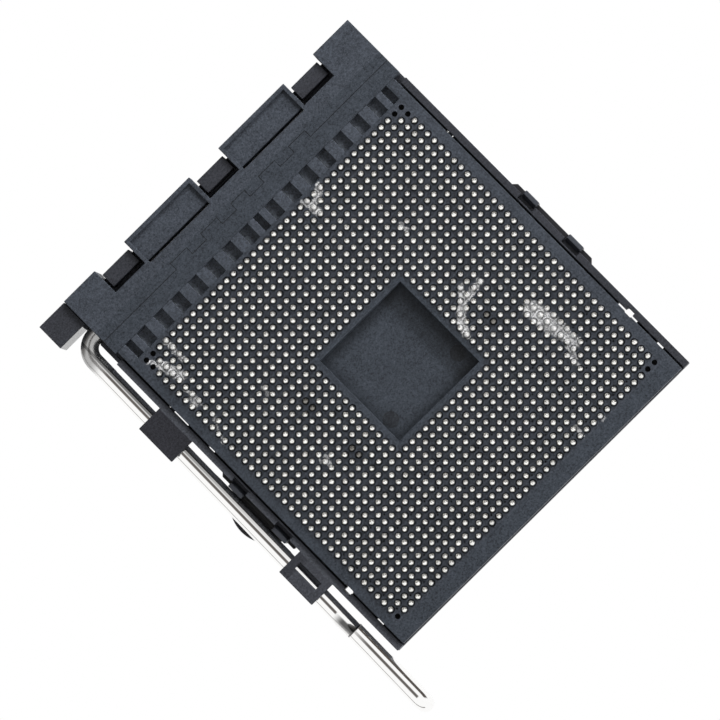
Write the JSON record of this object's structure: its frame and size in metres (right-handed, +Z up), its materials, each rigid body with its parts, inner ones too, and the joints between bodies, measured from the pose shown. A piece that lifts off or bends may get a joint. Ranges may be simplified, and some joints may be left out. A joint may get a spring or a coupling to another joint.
{
  "type": "cpu socket",
  "caption": "Square surface-mount processor socket with a solder-ball grid, a sliding cover, a cranked side lever and a clip-on pick-up cap.",
  "frame": {"origin": "centre of the solder-ball grid, on the plane of the circuit board that the balls stand on", "axes": "+Z up, away from the circuit board; +Y towards the cam head; +X towards the lever"},
  "size_m": [0.0471, 0.0581, 0.0058],
  "materials": {
    "base_plastic": "matte, glass-filled, dark blue-grey",
    "solder": "bright reflowed solder",
    "cam_steel": "stamped sheet",
    "cover_plastic": "matte, glass-filled, near black",
    "lever_steel": "polished nickel-plated wire",
    "cap_plastic": "smooth satin black"
  },
  "bodies": {
    "base": {"base_housing": "base_plastic", "base_cam_plate": "cam_steel", "solder_balls": "solder", "corner_solder_balls": "solder"},
    "cover": {"slide_cover": "cover_plastic", "cover_cam_plate": "cam_steel"},
    "lever": {"cam_lever": "lever_steel"},
    "cap": {"pickup_cap": "cap_plastic"}
  },
  "joints": [
    {"name": "cover_slide", "type": "slide", "parent": "base", "child": "cover", "axis": [0, -1, 0], "range_m": [0, 0.00055]},
    {"name": "lever_swing", "type": "hinge", "parent": "cover", "child": "lever", "pos_m": [0, 0.025, 0.0026], "axis": [-1, 0, 0], "range_deg": [0, 90]},
    {"name": "cap_lift", "type": "slide", "parent": "cover", "child": "cap", "axis": [0, 0, 1], "range_m": [0, 0.072]}
  ],
  "couplings": [
    {"joint": "cover_slide", "follows": "lever_swing", "m_per_rad": 0.00035},
    {"joint": "cap_lift", "follows": "lever_swing", "m_per_rad": 0.0458}
  ]
}
